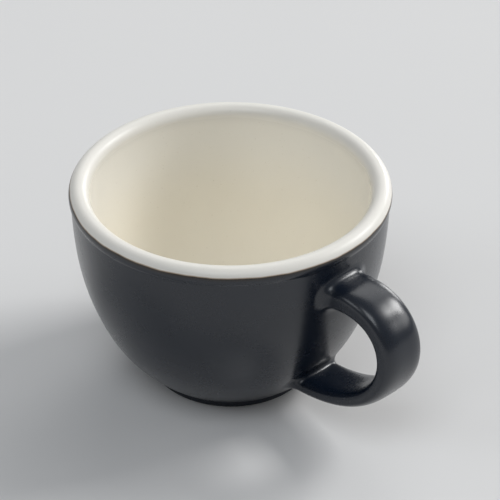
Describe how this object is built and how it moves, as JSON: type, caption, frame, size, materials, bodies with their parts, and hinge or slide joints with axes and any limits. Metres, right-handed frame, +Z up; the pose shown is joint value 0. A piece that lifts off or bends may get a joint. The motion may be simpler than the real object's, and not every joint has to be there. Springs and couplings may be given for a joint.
{
  "type": "cup",
  "caption": "Stoneware coffee cup with a round bowl, a low foot ring and a strap handle, glossy cream glaze inside and over the lip, satin charcoal glaze outside.",
  "frame": {"origin": "on the bowl's axis, on the table, at the centre of the foot ring that the cup stands on", "axes": "+Z up along the bowl's axis, +X toward the handle, +Y across the handle"},
  "size_m": [0.1173, 0.0932, 0.0635],
  "materials": {
    "bare_stoneware": "matte",
    "cream_glaze": "gloss",
    "charcoal_glaze": "satin"
  },
  "bodies": {
    "root": {"stoneware_body": "bare_stoneware", "handle": "bare_stoneware", "upper_luting_slip": "charcoal_glaze", "lower_luting_slip": "charcoal_glaze", "liner_glaze": "cream_glaze", "outer_glaze": "charcoal_glaze", "handle_glaze": "charcoal_glaze", "base_glaze": "charcoal_glaze"}
  },
  "joints": []
}
